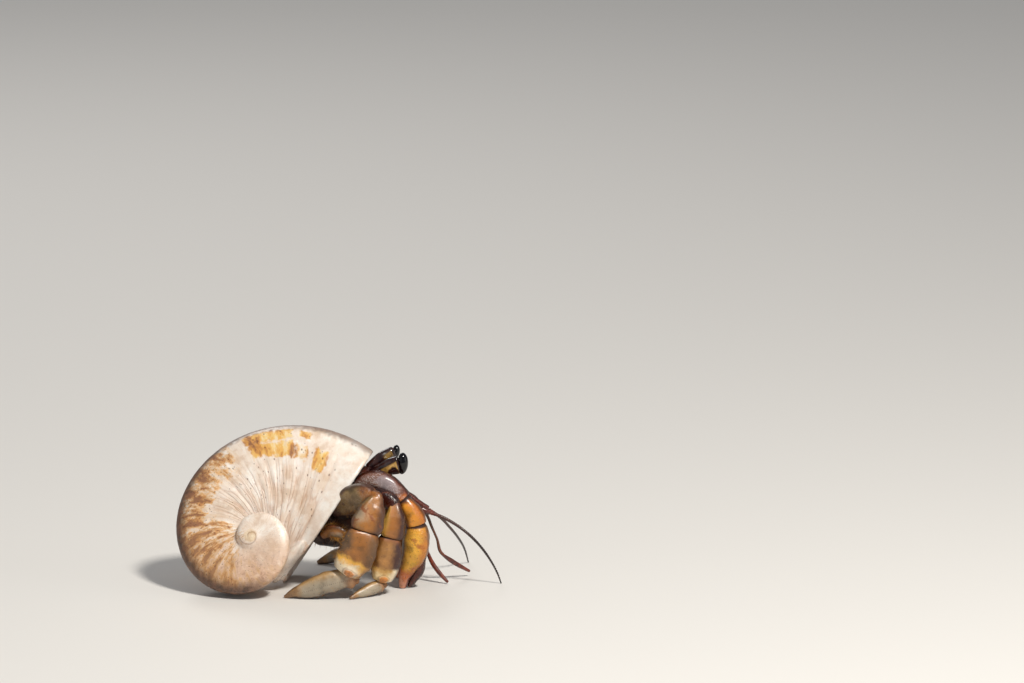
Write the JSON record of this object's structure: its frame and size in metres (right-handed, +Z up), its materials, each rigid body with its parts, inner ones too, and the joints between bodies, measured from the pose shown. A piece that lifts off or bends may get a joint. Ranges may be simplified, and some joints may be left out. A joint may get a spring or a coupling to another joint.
{
  "type": "hermit crab",
  "caption": "Land hermit crab walking in a moon-snail shell, with stalked eyes, two claws, walking legs and feelers; still life-size model.",
  "frame": {"origin": "on the floor, at the small flat where the shell rests, under the lower far end of its lip", "axes": "+X towards the crab's head, +Y to the crab's left, +Z up"},
  "size_m": [0.0437, 0.0236, 0.0214],
  "materials": {
    "shell_lime": "creamy shell lime with ochre blotches, worn matt with a smooth sheen at the lip",
    "soft_abdomen": "soft skin, hidden in the shell",
    "umber_cuticle": "shiny red-brown cuticle",
    "dark_cuticle": "near-black brown cuticle with golden streaks",
    "cornea_black": "glossy black",
    "amber_cuticle": "amber to brown granular cuticle with pale joint ends",
    "ochre_claw": "yellow-orange granular cuticle",
    "grey_dactyl": "grey-tan cuticle with rows of dark dots",
    "red_feeler": "dark red-brown"
  },
  "bodies": {
    "root": {"abdomen": "soft_abdomen", "antenna_left_base": "red_feeler", "antenna_left_lash": "red_feeler", "antenna_right_base": "red_feeler", "antenna_right_lash": "red_feeler", "antennule_left_base": "red_feeler", "antennule_left_end": "red_feeler", "antennule_right_base": "red_feeler", "antennule_right_end": "red_feeler", "claw_left_carpus": "amber_cuticle", "claw_left_dactyl": "umber_cuticle", "claw_left_ischium": "umber_cuticle", "claw_left_merus": "umber_cuticle", "claw_left_palm": "amber_cuticle", "claw_right_carpus": "ochre_claw", "claw_right_dactyl": "umber_cuticle", "claw_right_ischium": "umber_cuticle", "claw_right_merus": "umber_cuticle", "claw_right_palm": "ochre_claw", "cornea_left": "cornea_black", "cornea_right": "cornea_black", "eyestalk_left": "dark_cuticle", "eyestalk_right": "dark_cuticle", "leg2_left_carpus": "amber_cuticle", "leg2_left_dactylus": "grey_dactyl", "leg2_left_ischium": "umber_cuticle", "leg2_left_merus": "umber_cuticle", "leg2_left_propodus": "amber_cuticle", "leg2_right_carpus": "amber_cuticle", "leg2_right_dactylus": "grey_dactyl", "leg2_right_ischium": "umber_cuticle", "leg2_right_merus": "umber_cuticle", "leg2_right_propodus": "amber_cuticle", "leg3_left_carpus": "amber_cuticle", "leg3_left_dactylus": "grey_dactyl", "leg3_left_ischium": "umber_cuticle", "leg3_left_merus": "amber_cuticle", "leg3_left_propodus": "amber_cuticle", "leg3_right_carpus": "amber_cuticle", "leg3_right_dactylus": "grey_dactyl", "leg3_right_ischium": "umber_cuticle", "leg3_right_merus": "amber_cuticle", "leg3_right_propodus": "amber_cuticle", "leg4_left": "amber_cuticle", "leg4_right": "amber_cuticle", "maxilliped_left": "amber_cuticle", "maxilliped_right": "amber_cuticle", "shell": "shell_lime", "shield": "dark_cuticle", "trunk": "umber_cuticle"}
  },
  "joints": []
}
